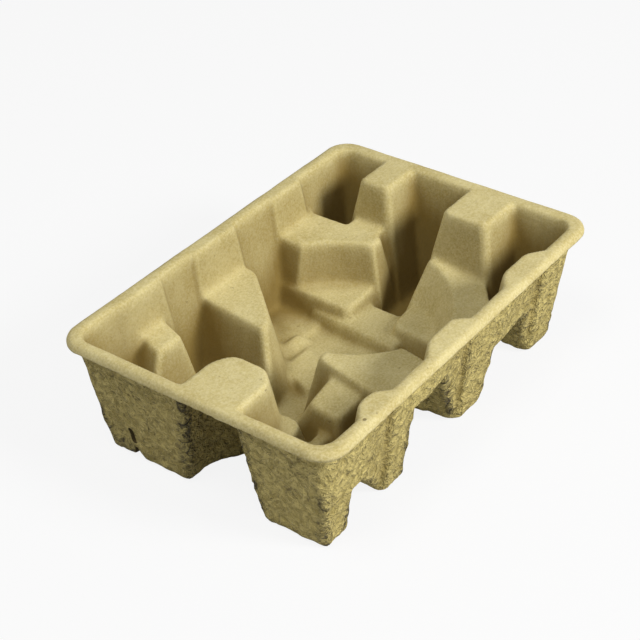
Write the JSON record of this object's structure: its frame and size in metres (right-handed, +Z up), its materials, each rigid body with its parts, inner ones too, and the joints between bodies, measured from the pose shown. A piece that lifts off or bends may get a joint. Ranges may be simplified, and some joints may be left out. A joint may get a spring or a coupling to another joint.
{
  "type": "moulded pulp tray",
  "caption": "Rectangular moulded paper-pulp tray with a turned rim, shaped ledges and pockets inside, and hollow tapered legs below.",
  "frame": {"origin": "centre of the footprint on the floor, under the middle of the rim", "axes": "+X along the length, away from the end with the bridge; +Y across the width, towards the back side; +Z up"},
  "size_m": [0.215, 0.15, 0.065],
  "materials": {
    "pulp": "matte, smooth inside and rough and fibrous outside"
  },
  "bodies": {
    "root": {"pulp_tray": "pulp"}
  },
  "joints": []
}
